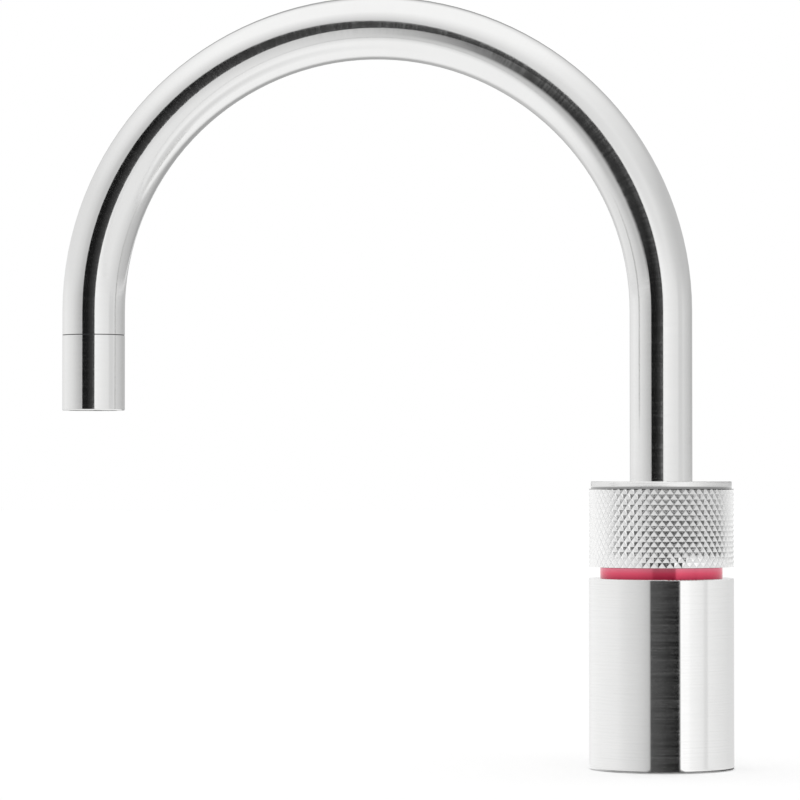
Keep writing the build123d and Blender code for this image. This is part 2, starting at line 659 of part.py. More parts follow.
# The return spring, one turn as two half rings that climb by half the pitch
with BuildPart() as return_spring:
    spring_foot = FLANGE_TOP_Z + SPRING_WIRE_R
    spring_rise = PUSH_FOOT_Z - FLANGE_TOP_Z - 2 * SPRING_WIRE_R
    half_rise = spring_rise / (2 * SPRING_TURNS)
    with BuildLine() as coil:
        for half in range(2 * SPRING_TURNS):
            side = 1 if half % 2 == 0 else -1
            foot = spring_foot + half * half_rise
            ThreePointArc(
                (side * SPRING_MEAN_R, 0, foot),
                (0, side * SPRING_MEAN_R, foot + half_rise / 2),
                (-side * SPRING_MEAN_R, 0, foot + half_rise),
            )
    with BuildSketch(Plane((SPRING_MEAN_R, 0, spring_foot), x_dir=(1, 0, 0), z_dir=(0, 1, 0))):
        Circle(SPRING_WIRE_R)
    sweep()

# The carrier turns on the push ring between two stops
with BuildPart() as knob_carrier:
    with BuildSketch(Plane.XY.offset(CARRIER_FOOT_Z)):
        Circle(CARRIER_R)
        Circle(CARRIER_BORE_R, mode=Mode.SUBTRACT)
    extrude(amount=PLATE_Z - CARRIER_FOOT_Z)
    with BuildSketch(Plane.XY.offset(CARRIER_STEP_Z)):
        Circle(CIRCLIP_R + CIRCLIP_ROOM)
    extrude(amount=PLATE_Z - CARRIER_STEP_Z, mode=Mode.SUBTRACT)
    stop_margin = TAB_HALF_ANGLE + TURN_PLAY
    extrude(
        sector(
            CARRIER_FOOT_Z,
            CARRIER_BORE_R - LOOSE_GAP,
            CARRIER_SLOT_R,
            -TURN_RANGE - stop_margin,
            stop_margin,
        ),
        TAB_H,
        mode=Mode.SUBTRACT,
    )
    with BuildSketch(Plane.XY.offset(CARRIER_FOOT_Z)):
        with PolarLocations(CARRIER_MID_R, KNOB_SCREW_COUNT, start_angle=KNOB_SCREW_ANGLE):
            Circle(KNOB_SCREW_HEAD_R + LOOSE_GAP)
    extrude(amount=KNOB_SCREW_SEAT_Z - CARRIER_FOOT_Z, mode=Mode.SUBTRACT)
    with BuildSketch(Plane.XY.offset(CARRIER_FOOT_Z)):
        with PolarLocations(CARRIER_MID_R, KNOB_SCREW_COUNT, start_angle=KNOB_SCREW_ANGLE):
            Circle(KNOB_SCREW_R + LOOSE_GAP)
    extrude(amount=PLATE_Z - CARRIER_FOOT_Z, mode=Mode.SUBTRACT)
    with BuildSketch(Plane.XY.offset(CARRIER_FOOT_Z)):
        for angle in MAGNET_ANGLES:
            with PolarLocations(CARRIER_MID_R, 1, start_angle=angle):
                Circle(MAGNET_R + SEAT_GAP)
    extrude(amount=MAGNET_L, mode=Mode.SUBTRACT)

with BuildPart() as sensor_magnets:
    with BuildSketch(Plane.XY.offset(CARRIER_FOOT_Z)):
        for angle in MAGNET_ANGLES:
            with PolarLocations(CARRIER_MID_R, 1, start_angle=angle):
                Circle(MAGNET_R)
    extrude(amount=MAGNET_L)

# Socket screws up through the carrier into the plate
with BuildPart() as knob_screws:
    with Locations(Plane.XY.offset(KNOB_SCREW_SEAT_Z)):
        with PolarLocations(CARRIER_MID_R, KNOB_SCREW_COUNT, start_angle=KNOB_SCREW_ANGLE):
            Cylinder(KNOB_SCREW_HEAD_R, KNOB_SCREW_HEAD_H, align=UNDER)
            Cylinder(KNOB_SCREW_R, KNOB_SCREW_GRIP + KNOB_SCREW_BITE, align=ON_TOP)
    with BuildSketch(Plane.XY.offset(KNOB_SCREW_SEAT_Z - KNOB_SCREW_HEAD_H)):
        with PolarLocations(CARRIER_MID_R, KNOB_SCREW_COUNT, start_angle=KNOB_SCREW_ANGLE):
            RegularPolygon(KNOB_SCREW_SOCKET_R, 6)
    extrude(amount=KNOB_SCREW_HEAD_H / 2, mode=Mode.SUBTRACT)

# The knurled ring, a cup turned upside down: the plate with its rim, then the band
with BuildPart() as knurled_ring:
    with BuildSketch(Plane.XY.offset(PLATE_Z)):
        Circle(KNOB_R - RIM_INSET)
        Circle(KNOB_HOLE_R, mode=Mode.SUBTRACT)
    extrude(amount=KNOB_PLATE_T)
    rim_edges = knurled_ring.edges().group_by(Axis.Z)[-1]
    fillet(rim_edges.sort_by(SortBy.RADIUS)[-1], RIM_FILLET)
    with BuildSketch(Plane.XY.offset(WIPER_Z)):
        Circle(WIPER_R)
    extrude(amount=WIPER_H, mode=Mode.SUBTRACT)
    with BuildSketch(Plane.XY.offset(PLATE_Z)):
        with PolarLocations(CARRIER_MID_R, KNOB_SCREW_COUNT, start_angle=KNOB_SCREW_ANGLE):
            Circle(KNOB_SCREW_R + SEAT_GAP)
    extrude(amount=KNOB_SCREW_BITE, mode=Mode.SUBTRACT)
    add(knurled_band())

# Wiper ring in the plate's groove, round the spout
with BuildPart() as knob_wiper:
    with BuildSketch(Plane.XY.offset(WIPER_Z)):
        Circle(WIPER_R - SEAT_GAP)
        Circle(SPOUT_R + LOOSE_GAP, mode=Mode.SUBTRACT)
    extrude(amount=WIPER_H)

# The swan-neck tube
with BuildPart() as spout_tube:
    with BuildLine():
        Line((0, 0, SPOUT_FOOT_Z), (0, 0, BEND_Z))
        ThreePointArc((0, 0, BEND_Z), (-BEND_R, 0, BEND_Z + BEND_R), (-REACH, 0, BEND_Z))
        Line((-REACH, 0, BEND_Z), (-REACH, 0, SPOUT_END_Z))
    with BuildSketch(Plane.XY.offset(SPOUT_FOOT_Z)):
        Circle(SPOUT_R)
        Circle(SPOUT_BORE_R, mode=Mode.SUBTRACT)
    sweep()

# The stem that seals and holds the foot of the spout in the core
with BuildPart() as spout_stem:
    with BuildSketch(Plane.XZ):
        with BuildLine():
            Polyline(
                (0, STEM_FOOT_Z),
                (STEM_R, STEM_FOOT_Z),
                (STEM_R, STEM_FLANGE_Z),
                (SPOUT_R, STEM_FLANGE_Z),
                (SPOUT_R, SPOUT_FOOT_Z),
                (SPOUT_PLUG_R, SPOUT_FOOT_Z),
                (SPOUT_PLUG_R, PLUG_TOP_Z),
                (SPIGOT_R, PLUG_TOP_Z),
                (SPIGOT_R, PLUG_TOP_Z + SPIGOT_L),
                (0, PLUG_TOP_Z + SPIGOT_L),
                close=True,
            )
        make_face()
        with Locations((STEM_R, GRUB_Z)):
            Rectangle(2 * RETAINING_GROOVE_DEPTH, RETAINING_GROOVE_H, mode=Mode.SUBTRACT)
        with Locations(*((STEM_R, height) for height in O_RING_HEIGHTS)):
            Rectangle(2 * O_RING_WIDTH, O_RING_GROOVE_H, mode=Mode.SUBTRACT)
        with Locations((0, STEM_FOOT_Z)):
            Rectangle(
                2 * WATER_BORE_R,
                PLUG_TOP_Z + SPIGOT_L - STEM_FOOT_Z,
                align=(Align.CENTER, Align.MIN),
                mode=Mode.SUBTRACT,
            )
    revolve(axis=Axis.Z)

with BuildPart() as stem_o_rings:
    with BuildSketch(Plane.XZ):
        with Locations(*((O_RING_BORE_R + O_RING_WIDTH / 2, z) for z in O_RING_HEIGHTS)):
            Circle(O_RING_WIDTH / 2)
    revolve(axis=Axis.Z)

# The inner hose that carries the water through the spout
with BuildPart() as water_tube:
    with BuildLine():
        Line((0, 0, PLUG_TOP_Z), (0, 0, BEND_Z))
        ThreePointArc((0, 0, BEND_Z), (-BEND_R, 0, BEND_Z + BEND_R), (-REACH, 0, BEND_Z))
        Line((-REACH, 0, BEND_Z), (-REACH, 0, CONNECTOR_TOP_Z))
    with BuildSketch(Plane.XY.offset(PLUG_TOP_Z)):
        Circle(WATER_TUBE_R)
        Circle(WATER_TUBE_BORE_R, mode=Mode.SUBTRACT)
    sweep()

# Finned clips that keep the hose in the middle of the bend
with BuildPart() as tube_spacers:
    for angle in SPACER_ANGLES:
        with BuildSketch(on_bend(angle)):
            Circle(WATER_TUBE_R + SPACER_RING_W)
            with PolarLocations(0, SPACER_FIN_COUNT):
                Rectangle(
                    SPOUT_BORE_R - LOOSE_GAP, SPACER_FIN_W, align=(Align.MIN, Align.CENTER)
                )
            Circle(WATER_TUBE_R + SEAT_GAP, mode=Mode.SUBTRACT)
        extrude(amount=SPACER_T / 2, both=True)

# The connector that joins the hose, the spout tube and the outlet sleeve
with BuildPart() as outlet_connector:
    with BuildSketch(OUTLET_SECTION):
        with BuildLine():
            Polyline(
                (WATER_BORE_R, CONNECTOR_FOOT_Z),
                (SPOUT_PLUG_R, CONNECTOR_FOOT_Z),
                (SPOUT_PLUG_R, CONNECTOR_TOP_Z),
                (SPIGOT_R, CONNECTOR_TOP_Z),
                (SPIGOT_R, CONNECTOR_TOP_Z + OUTLET_SPIGOT_L),
                (WATER_BORE_R, CONNECTOR_TOP_Z + OUTLET_SPIGOT_L),
                close=True,
            )
        make_face()
        with Locations((SPOUT_PLUG_R, OUTLET_GROOVE_Z)):
            Rectangle(2 * O_RING_WIDTH, O_RING_GROOVE_H, mode=Mode.SUBTRACT)
    revolve(axis=OUTLET_AXIS)

with BuildPart() as outlet_o_ring:
    with BuildSketch(OUTLET_SECTION):
        with Locations((SPOUT_PLUG_R - O_RING_WIDTH / 2, OUTLET_GROOVE_Z)):
            Circle(O_RING_WIDTH / 2)
    revolve(axis=OUTLET_AXIS)

# The outlet sleeve below the joint line, with a lip that holds the flow parts
with BuildPart() as outlet_sleeve:
    with BuildSketch(OUTLET_FOOT):
        Circle(SPOUT_R)
    extrude(amount=SLEEVE_H)
    fillet(outlet_sleeve.edges().group_by(Axis.Z)[0], EDGE_BREAK)
    with BuildSketch(OUTLET_FOOT):
        Circle(SPOUT_BORE_R - SLEEVE_LIP_W)
    extrude(amount=SLEEVE_H, mode=Mode.SUBTRACT)
    with BuildSketch(OUTLET_FOOT.offset(SLEEVE_LIP_H)):
        Circle(SPOUT_BORE_R)
    extrude(amount=SLEEVE_H - SLEEVE_LIP_H, mode=Mode.SUBTRACT)

with BuildPart() as outlet_mesh:
    with BuildSketch(OUTLET_FOOT.offset(SLEEVE_LIP_H)):
        Circle(SPOUT_BORE_R - LOOSE_GAP)
        reach = SPOUT_BORE_R - SLEEVE_LIP_W - RIM_OF_HOLES
        count = 2 * int(reach / MESH_PITCH) + 1
        grid = GridLocations(MESH_PITCH, MESH_PITCH, count, count).local_locations
        with Locations(*(spot for spot in grid if spot.position.length < reach)):
            Rectangle(MESH_HOLE, MESH_HOLE, mode=Mode.SUBTRACT)
    extrude(amount=MESH_T)

# Honeycomb that straightens the stream
with BuildPart() as flow_straightener:
    with BuildSketch(OUTLET_FOOT.offset(SLEEVE_LIP_H + MESH_T)):
        Circle(SPOUT_BORE_R - LOOSE_GAP)
        reach = SPOUT_BORE_R - HONEYCOMB_R - RIM_OF_HOLES
        cells = HexLocations(HONEYCOMB_PITCH, HONEYCOMB_CELLS, HONEYCOMB_CELLS).local_locations
        with Locations(*(spot for spot in cells if spot.position.length < reach)):
            RegularPolygon(HONEYCOMB_R, 6, major_radius=False, mode=Mode.SUBTRACT)
    extrude(amount=WASHER_Z - STRAIGHTENER_Z)

with BuildPart() as outlet_washer:
    with BuildSketch(OUTLET_FOOT.offset(WASHER_Z - OUTLET_Z)):
        Circle(SPOUT_BORE_R - LOOSE_GAP)
        Circle(OUTLET_WASHER_BORE_R, mode=Mode.SUBTRACT)
    extrude(amount=OUTLET_WASHER_T)

finished = {
    "body_shell": body_shell,
    "core_body": core_body,
    "neck_tube": neck_tube,
    "neck_screws": neck_screws,
    "threaded_shank": threaded_shank,
    "deck_seal": deck_seal,
    "clamp_seal": clamp_seal,
    "clamp_washer": clamp_washer,
    "lock_nut": lock_nut,
    "shell_grip_rings": shell_grip_rings,
    "light_ring": light_ring,
    "led_board": led_board,
    "led_chips": led_chips,
    "hall_sensors": hall_sensors,
    "board_connector": board_connector,
    "cable_grommet": cable_grommet,
    "lower_spout_bearing": lower_spout_bearing,
    "upper_spout_bearing": upper_spout_bearing,
    "thrust_washer": thrust_washer,
    "spout_retaining_screw": spout_retaining_screw,
    "guide_pins": guide_pins,
    "push_ring": push_ring,
    "carrier_circlip": carrier_circlip,
    "return_spring": return_spring,
    "knob_carrier": knob_carrier,
    "sensor_magnets": sensor_magnets,
    "knob_screws": knob_screws,
    "knurled_ring": knurled_ring,
    "knob_wiper": knob_wiper,
    "spout_tube": spout_tube,
    "spout_stem": spout_stem,
    "stem_o_rings": stem_o_rings,
    "water_tube": water_tube,
    "tube_spacers": tube_spacers,
    "outlet_connector": outlet_connector,
    "outlet_o_ring": outlet_o_ring,
    "outlet_sleeve": outlet_sleeve,
    "outlet_mesh": outlet_mesh,
    "flow_straightener": flow_straightener,
    "outlet_washer": outlet_washer,
}

for name, piece in finished.items():
    piece.part.label = name
    export_step(piece.part, f"parts/{name}.step")
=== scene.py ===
from math import atan2, cos, degrees, pi, radians, sin, tau

import bpy
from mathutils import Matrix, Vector


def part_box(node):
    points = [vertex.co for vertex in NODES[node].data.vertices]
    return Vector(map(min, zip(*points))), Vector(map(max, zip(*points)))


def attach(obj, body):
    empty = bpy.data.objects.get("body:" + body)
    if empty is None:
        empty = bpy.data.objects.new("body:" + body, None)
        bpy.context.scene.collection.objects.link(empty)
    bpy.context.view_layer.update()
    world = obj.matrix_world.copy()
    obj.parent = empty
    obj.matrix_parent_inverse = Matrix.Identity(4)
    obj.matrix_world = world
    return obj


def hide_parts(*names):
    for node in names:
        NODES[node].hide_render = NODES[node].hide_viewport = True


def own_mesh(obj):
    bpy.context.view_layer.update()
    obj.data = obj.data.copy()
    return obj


# Swan-neck kitchen tap. Metres, Z up, the worktop at Z = 0, the spout towards -X.

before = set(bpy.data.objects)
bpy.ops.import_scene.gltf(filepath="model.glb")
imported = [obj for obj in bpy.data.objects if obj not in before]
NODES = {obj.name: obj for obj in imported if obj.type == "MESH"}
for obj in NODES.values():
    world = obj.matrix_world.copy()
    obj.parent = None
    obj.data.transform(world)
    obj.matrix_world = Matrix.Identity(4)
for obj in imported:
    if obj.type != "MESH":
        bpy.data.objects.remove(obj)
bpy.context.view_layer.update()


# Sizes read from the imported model

BODY_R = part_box("body_shell")[1].x
SPOUT_LOW, SPOUT_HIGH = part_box("spout_tube")
TUBE_R = SPOUT_HIGH.y
BEND_R = (-TUBE_R - SPOUT_LOW.x) / 2
BEND_CENTRE = Vector((-BEND_R, 0, SPOUT_HIGH.z - TUBE_R - BEND_R))
OUTLET_X = -2 * BEND_R
SLEEVE_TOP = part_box("outlet_sleeve")[1].z
KNOB_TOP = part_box("knurled_ring")[1].z
BAND_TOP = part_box("light_ring")[1].z
SPRING_LOW, SPRING_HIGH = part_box("return_spring")
SHANK_LOW, SHANK_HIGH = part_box("threaded_shank")


# Node helpers

# A Mix node's two inputs and its output, for each kind of data
MIX_SOCKETS = {"FLOAT": (2, 3, 0), "VECTOR": (4, 5, 1), "RGBA": (6, 7, 2)}


def new_material(name, **inputs):
    """A node material with values set on its Principled shader."""
    material = bpy.data.materials.new(name)
    material.use_nodes = True
    shader = shader_of(material.node_tree)
    for key, value in inputs.items():
        shader.inputs[key.replace("_", " ")].default_value = value
    return material


def shader_of(tree):
    """The Principled shader of a material's tree."""
    return tree.nodes["Principled BSDF"]


def add_node(tree, kind, inputs=(), **settings):
    """A node with its settings made, and its numbered or named inputs linked or set."""
    made = tree.nodes.new(kind)
    for key, value in settings.items():
        setattr(made, key, value)
    for index, value in dict(inputs).items():
        if isinstance(value, bpy.types.NodeSocket):
            tree.links.new(value, made.inputs[index])
        else:
            made.inputs[index].default_value = value
    return made


def maths(tree, operation, first, second=0.0, third=0.0):
    """One Math node's result."""
    inputs = {0: first, 1: second, 2: third}
    return add_node(tree, "ShaderNodeMath", inputs, operation=operation).outputs[0]


def vector_maths(tree, operation, first, second=(0, 0, 0)):
    """One Vector Math node's vector."""
    inputs = {0: first, 1: second}
    return add_node(tree, "ShaderNodeVectorMath", inputs, operation=operation).outputs[0]


def length(tree, vector):
    """A vector's length."""
    return add_node(tree, "ShaderNodeVectorMath", {0: vector}, operation="LENGTH").outputs[1]


def split(tree, vector):
    """A vector's X, Y and Z."""
    return tuple(add_node(tree, "ShaderNodeSeparateXYZ", {0: vector}).outputs)


def joined(tree, x=0.0, y=0.0, z=0.0):
    """A vector from its X, Y and Z."""
    return add_node(tree, "ShaderNodeCombineXYZ", {0: x, 1: y, 2: z}).outputs[0]


def mixed(tree, kind, share, first, second, **settings):
    """The first value turning into the second as the share goes from 0 to 1."""
    first_input, second_input, output = MIX_SOCKETS[kind]
    inputs = {0: share, first_input: first, second_input: second}
    return add_node(tree, "ShaderNodeMix", inputs, data_type=kind, **settings).outputs[output]


def rgba(value):
    """A grey or a colour as RGBA. A socket stays as it is."""
    if isinstance(value, bpy.types.NodeSocket):
        return value
    if isinstance(value, (int, float)):
        value = (value, value, value)
    return (*value, 1)


def mixed_colour(tree, share, first, second):
    """One grey or colour turning into another as the share goes from 0 to 1."""
    return mixed(tree, "RGBA", share, rgba(first), rgba(second))


def shaded(tree, share, colour, spread):
    """The colour made darker and lighter by the spread, mixed by the share."""
    dark = [part * (1 - spread) for part in colour]
    light = [min(part * (1 + spread), 1) for part in colour]
    return mixed_colour(tree, share, dark, light)


def ramp(tree, factor, stops):
    """A colour ramp's result, from (position, grey or colour) stops."""
    made = add_node(tree, "ShaderNodeValToRGB", {0: factor})
    elements = made.color_ramp.elements
    while len(elements) < len(stops):
        elements.new(0.5)
    for element, (position, value) in zip(elements, stops):
        element.position = position
        element.color = rgba(value)
    return made.outputs[0]


def fade(tree, factor, start, end, first=0.0, last=1.0):
    """One grey up to the start of a span, another from its end on."""
    return ramp(tree, factor, [(start, first), (end, last)])


def noise(tree, vector, scale, detail=2.0, roughness=0.5):
    """A noise texture's grey value."""
    inputs = {"Vector": vector, "Scale": scale, "Detail": detail, "Roughness": roughness}
    return add_node(tree, "ShaderNodeTexNoise", inputs).outputs[0]


def scaled(tree, vector, factors):
    """A vector with each axis multiplied by its own factor."""
    return vector_maths(tree, "MULTIPLY", vector, factors)


def stretched_noise(tree, vector, factors, detail=2.0, roughness=0.5):
    """Noise that is drawn out, each axis by its own factor."""
    return noise(tree, scaled(tree, vector, factors), 1.0, detail, roughness)


def add_bump(tree, height, strength, distance):
    """A bump of the given height on the material's shader."""
    inputs = {"Strength": strength, "Distance": distance, "Height": height}
    normal = add_node(tree, "ShaderNodeBump", inputs).outputs[0]
    tree.links.new(normal, shader_of(tree).inputs["Normal"])


def object_place(tree):
    """The point's place on its object, which stays with it when a joint moves."""
    return add_node(tree, "ShaderNodeTexCoord").outputs["Object"]


def to_world(tree, vector):
    """A direction on the object, turned with it."""
    turned = add_node(
        tree,
        "ShaderNodeVectorTransform",
        {0: vector},
        vector_type="VECTOR",
        convert_from="OBJECT",
        convert_to="WORLD",
    )
    return turned.outputs[0]


# Grain: which way a worked surface is brushed

FINE_GRAIN = 5200
GRAIN_ROUND_PART = 1.5
GRAIN_ROUND_TUBE = 60


def lathe_place(tree, centre_x=0.0):
    """A point of a turned part: distance from the axis, height, and the way outward."""
    x, y, height = split(tree, object_place(tree))
    level = joined(tree, maths(tree, "SUBTRACT", x, centre_x), y)
    return length(tree, level), height, vector_maths(tree, "NORMALIZE", level)


def turned_grain(tree, centre_x=0.0):
    """Grain in rings: fine along the axis and outward, slow on the way round."""
    radius, height, outward = lathe_place(tree, centre_x)
    fine = scaled(tree, joined(tree, 0.0, radius, height), (0, FINE_GRAIN, FINE_GRAIN))
    slow = scaled(tree, outward, (GRAIN_ROUND_PART, GRAIN_ROUND_PART, 0))
    return vector_maths(tree, "ADD", fine, slow)


def outlet_grain(tree):
    """The same rings round the outlet's axis."""
    return turned_grain(tree, OUTLET_X)


def turned_direction(tree):
    """Highlights on a turned part stretch along Z on its sides and outward on its ends."""
    outward = lathe_place(tree)[2]
    return to_world(tree, vector_maths(tree, "ADD", outward, (0, 0, 1)))


def from_bend_centre(tree):
    """The point's place from the centre of the spout's bend."""
    return vector_maths(tree, "SUBTRACT", object_place(tree), BEND_CENTRE)


def along_spout(tree):
    """Distance along the spout's centre line, zero where the bend leaves the riser."""
    x, _, z = split(tree, from_bend_centre(tree))
    on_bend = maths(tree, "MULTIPLY", maths(tree, "ARCTAN2", z, x), BEND_R)
    on_drop = maths(tree, "SUBTRACT", pi * BEND_R, z)
    outer_side = maths(tree, "LESS_THAN", x, 0.0)
    above = maths(tree, "GREATER_THAN", z, 0.0)
    on_legs = mixed(tree, "FLOAT", outer_side, z, on_drop)
    return mixed(tree, "FLOAT", above, on_legs, on_bend)


def spout_grain(tree):
    """Grain in rings round the spout's centre line."""
    x, y, _ = split(tree, object_place(tree))
    place = joined(tree, x, y, along_spout(tree))
    return scaled(tree, place, (GRAIN_ROUND_TUBE, GRAIN_ROUND_TUBE, FINE_GRAIN))


def spout_direction(tree):
    """Along the centre line: up on the two legs, round the bend between them."""
    place = from_bend_centre(tree)
    round_bend = vector_maths(tree, "CROSS_PRODUCT", place, (0, 1, 0))
    bend = vector_maths(tree, "NORMALIZE", scaled(tree, round_bend, (1, 0, 1)))
    above = maths(tree, "GREATER_THAN", split(tree, place)[2], 0.0)
    return to_world(tree, mixed(tree, "VECTOR", above, joined(tree, z=1.0), bend))


# Metals and moulded parts

# How far the noise on a metal's grain is drawn out
BROAD_GRAIN = (0.4, 0.4, 0.12)
STREAK_GRAIN = (0.5, 0.5, 0.3)
WORN_GRAIN = (0.6, 0.6, 0.4)

GRAIN_H = 0.00002
CLOUD_SCALE = 70.0
STREAK_STOPS = [(0.40, 0.75), (0.52, 0.95)]
STREAK_END = 0.72
WORN_SPAN = (0.42, 0.72)
MOTTLE_SHARE = 0.08
MOTTLE_SPAN = (0.3, 0.7)
SKIN_SHARE = 0.2
GLOSS_LEAST = 0.85
GLOSS_SPREAD = 0.3

STEEL = (0.90, 0.90, 0.895)
BRASS = (0.72, 0.50, 0.21)


def metal(
    name,
    colour,
    grain,
    roughness,
    bump=0.3,
    stain=0.12,
    direction=None,
    anisotropic=0.0,
    duller=2.0,
    scatter=0.0,
):
    """Worked metal: fine grain, a soft change of colour and gloss over the part.

    The dullest streaks have duller times the roughness, and the worn lines lose the
    share scatter of the metal's shine.
    """
    material = new_material(name, Metallic=1.0, Roughness=roughness, Anisotropic=anisotropic)
    tree = material.node_tree
    shader = shader_of(tree)
    place = grain(tree)
    fine = noise(tree, place, 1.0, detail=3.0, roughness=0.6)
    broad = stretched_noise(tree, place, BROAD_GRAIN)
    add_bump(tree, maths(tree, "MULTIPLY_ADD", broad, 0.5, fine), bump, GRAIN_H)
    clouds = noise(tree, object_place(tree), CLOUD_SCALE)
    tint = maths(tree, "MULTIPLY_ADD", fine, 0.5, maths(tree, "MULTIPLY", clouds, 0.5))
    tree.links.new(shaded(tree, tint, colour, stain), shader.inputs["Base Color"])
    streaks = stretched_noise(tree, place, STREAK_GRAIN)
    share = ramp(tree, streaks, STREAK_STOPS + [(STREAK_END, duller)])
    tree.links.new(maths(tree, "MULTIPLY", share, roughness), shader.inputs["Roughness"])
    if direction:
        tree.links.new(direction(tree), shader.inputs["Tangent"])
    if scatter:
        lines = stretched_noise(tree, place, WORN_GRAIN, detail=3.0, roughness=0.7)
        worn = fade(tree, lines, *WORN_SPAN)
        mirror = maths(tree, "MULTIPLY_ADD", worn, -scatter, 1.0)
        tree.links.new(mirror, shader.inputs["Metallic"])
    return material


def moulded(name, colour, roughness, pitch, bump=0.15, spread=0.08, **inputs):
    """Moulded plastic or rubber: a skin of the given pitch, mottling, a gloss that varies."""
    material = new_material(name, Roughness=roughness, **inputs)
    tree = material.node_tree
    shader = shader_of(tree)
    place = object_place(tree)
    skin = noise(tree, place, 1 / pitch, detail=3.0)
    mottle = fade(tree, noise(tree, place, MOTTLE_SHARE / pitch), *MOTTLE_SPAN)
    tree.links.new(shaded(tree, mottle, colour, spread), shader.inputs["Base Color"])
    gloss = maths(
        tree, "MULTIPLY_ADD", skin, roughness * GLOSS_SPREAD, roughness * GLOSS_LEAST
    )
    tree.links.new(gloss, shader.inputs["Roughness"])
    add_bump(tree, skin, bump, pitch * SKIN_SHARE)
    return material


brushed_steel = metal(
    "brushed_steel",
    STEEL,
    turned_grain,
    0.11,
    bump=0.12,
    stain=0.04,
    direction=turned_direction,
    anisotropic=0.9,
    scatter=0.07,
)
spout_steel = metal(
    "spout_steel",
    STEEL,
    spout_grain,
    0.10,
    bump=0.06,
    stain=0.04,
    direction=spout_direction,
    anisotropic=0.9,
    duller=1.2,
)
turned_brass = metal(
    "turned_brass", BRASS, turned_grain, 0.24, direction=turned_direction, anisotropic=0.5
)
outlet_brass = metal("outlet_brass", BRASS, outlet_grain, 0.26)
zinc_steel = metal("zinc_steel", (0.68, 0.70, 0.72), turned_grain, 0.34, stain=0.14)
stainless = metal(
    "stainless_fastener", (0.66, 0.66, 0.65), turned_grain, 0.22, bump=0.2, stain=0.08
)
spring_wire = metal("spring_steel", (0.48, 0.48, 0.49), turned_grain, 0.26, stain=0.1)
nickel = metal("magnet_nickel", (0.74, 0.73, 0.69), turned_grain, 0.14, bump=0.05, stain=0.05)
mesh_steel = metal("mesh_steel", (0.62, 0.62, 0.61), outlet_grain, 0.3)
black_rubber = moulded(
    "black_rubber", (0.028, 0.028, 0.030), 0.62, 0.0004, bump=0.3, spread=0.2
)
acetal = moulded("bearing_plastic", (0.80, 0.79, 0.73), 0.42, 0.0003, Subsurface_Weight=0.1)
hose_white = moulded("hose_white", (0.80, 0.82, 0.80), 0.35, 0.0008, Subsurface_Weight=0.2)
grey_plastic = moulded("grey_plastic", (0.13, 0.135, 0.14), 0.5, 0.0003)
chip_black = moulded("chip_black", (0.02, 0.02, 0.022), 0.45, 0.0001)


# Knurled ring, circuit board, lamps and light band

KNURL_STEEL = (0.97, 0.97, 0.965)
KNURL_DEPTH = 0.0007
KNURL_ZONE = 1.1 * KNURL_DEPTH
SIDE_ZONE = 3 * KNURL_DEPTH
# Painted shade in the knurl's grooves: where it fades out towards the tips, and its grey
GROOVE_SHADE_SPAN = (0.0, 0.22)
GROOVE_SHADE_GREY = (0.80, 0.80, 0.805)
RIM_H = 0.0029
# Painted shadow line under the rim: its grey, and where it lies on the rim's height
RIM_SHADE_GREY = 0.36
RIM_SHADE_STOPS = [(0.0, 0.0), (0.04, 1.0), (0.30, 1.0), (0.42, 0.0)]
CROWN_SPAN = (0.34, 0.50)
RIM_CROWN = 0.36
ROLLED = 0.45


def knurl_look():
    """Rolled steel: painted shade in the grooves, softened pyramids, a painted shadow line
    under a rounded rim.
    """
    material = metal("knurled_steel", KNURL_STEEL, turned_grain, 0.24, bump=0.08, stain=0.03)
    tree = material.node_tree
    shader = shader_of(tree)
    radius, height, outward = lathe_place(tree)
    below_rim = maths(tree, "LESS_THAN", height, KNOB_TOP - RIM_H)
    outside = maths(tree, "GREATER_THAN", radius, BODY_R - KNURL_ZONE)
    on_knurl = maths(tree, "MULTIPLY", below_rim, outside)
    on_side = maths(tree, "GREATER_THAN", radius, BODY_R - SIDE_ZONE)
    depth = maths(tree, "MULTIPLY_ADD", radius, 1 / KNURL_DEPTH, 1 - BODY_R / KNURL_DEPTH)
    rise = maths(tree, "MULTIPLY_ADD", height, 1 / RIM_H, 1 - KNOB_TOP / RIM_H)

    # Painted shade: the base colour is greyed in the knurl's grooves, darkest at their roots
    groove_shade = maths(tree, "MULTIPLY", fade(tree, depth, *GROOVE_SHADE_SPAN, 1.0, 0.0), on_knurl)
    plain = shader.inputs["Base Color"].links[0].from_socket
    groove_shaded = mixed_colour(tree, groove_shade, plain, GROOVE_SHADE_GREY)
    # Painted shadow: a dark grey line in the base colour just under the rim, where the rim
    # shades the knurl
    rim_shade = maths(tree, "MULTIPLY", ramp(tree, rise, RIM_SHADE_STOPS), on_side)
    rim_shaded = mixed_colour(tree, rim_shade, groove_shaded, RIM_SHADE_GREY)
    tree.links.new(rim_shaded, shader.inputs["Base Color"])

    bumped = shader.inputs["Normal"].links[0].from_socket
    rolled = maths(tree, "MULTIPLY", on_knurl, ROLLED)
    eased = mixed(tree, "VECTOR", rolled, bumped, to_world(tree, outward))
    crown = joined(tree, z=fade(tree, rise, *CROWN_SPAN, 0.0, RIM_CROWN))
    normal = vector_maths(tree, "NORMALIZE", vector_maths(tree, "ADD", eased, crown))
    tree.links.new(normal, shader.inputs["Normal"])
    return material


TRACK_WAVES = 9000.0
TRACK_BREAKS = (3, 3, 0)
TRACK_EDGE = (0.35, 0.45)
BREAK_EDGE = (0.40, 0.52)
TRACK_H = 0.00003
BOARD_MASK = (0.015, 0.13, 0.05)
BOARD_TRACK = (0.05, 0.26, 0.10)


